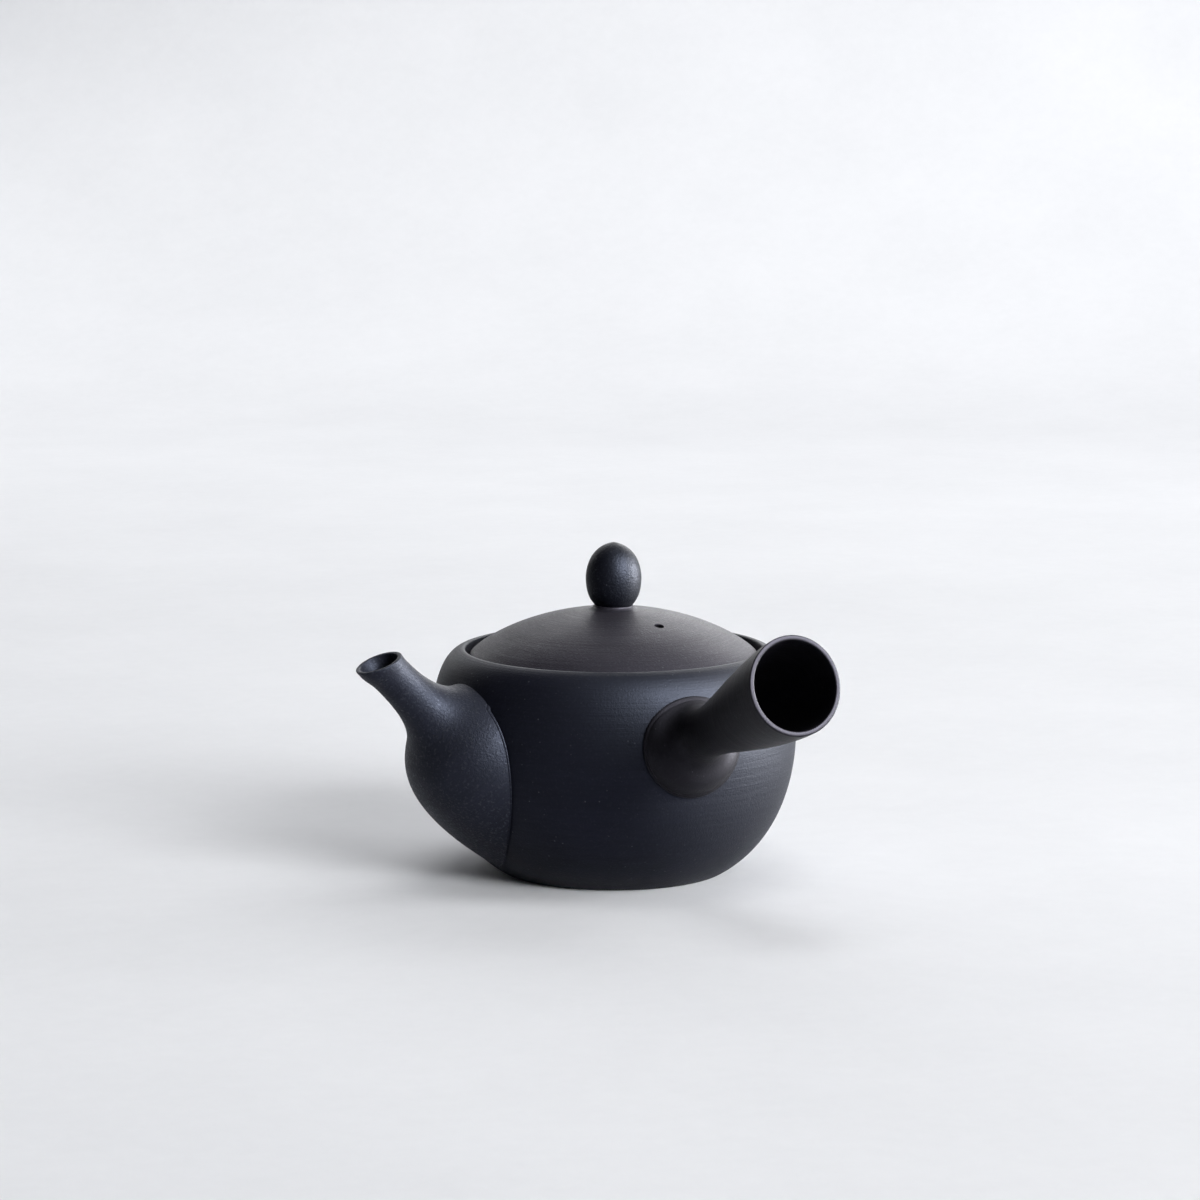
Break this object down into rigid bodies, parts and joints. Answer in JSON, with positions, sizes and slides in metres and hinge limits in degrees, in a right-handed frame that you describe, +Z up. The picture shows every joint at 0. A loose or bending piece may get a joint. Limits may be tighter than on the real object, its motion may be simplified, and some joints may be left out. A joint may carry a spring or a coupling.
{
  "type": "side-handled teapot",
  "caption": "Small unglazed clay teapot with a hollow side handle, a bulbous pouring spout, a pierced strainer inside and a domed lid with a knob that lifts off.",
  "frame": {"origin": "middle of the flat underside, on the pot's turning axis", "axes": "+Z up along the pot's turning axis, -Y towards the open end of the side handle, the spout near -X, 83 degrees round from the handle"},
  "size_m": [0.1292, 0.1596, 0.0903],
  "materials": {
    "black_clay": "unglazed satin black clay with fine turning lines",
    "lid_clay": "unglazed matt black clay, a little drier than the body",
    "inner_clay": "unglazed matt black clay"
  },
  "bodies": {
    "pot": {"pot_body": "black_clay", "spout": "black_clay", "handle": "black_clay", "tea_strainer": "inner_clay"},
    "lid": {"lid": "lid_clay", "lid_knob": "black_clay"}
  },
  "joints": [
    {"name": "lid_lift", "type": "slide", "parent": "pot", "child": "lid", "axis": [0, 0, 1], "range_m": [0, 0.06]}
  ]
}
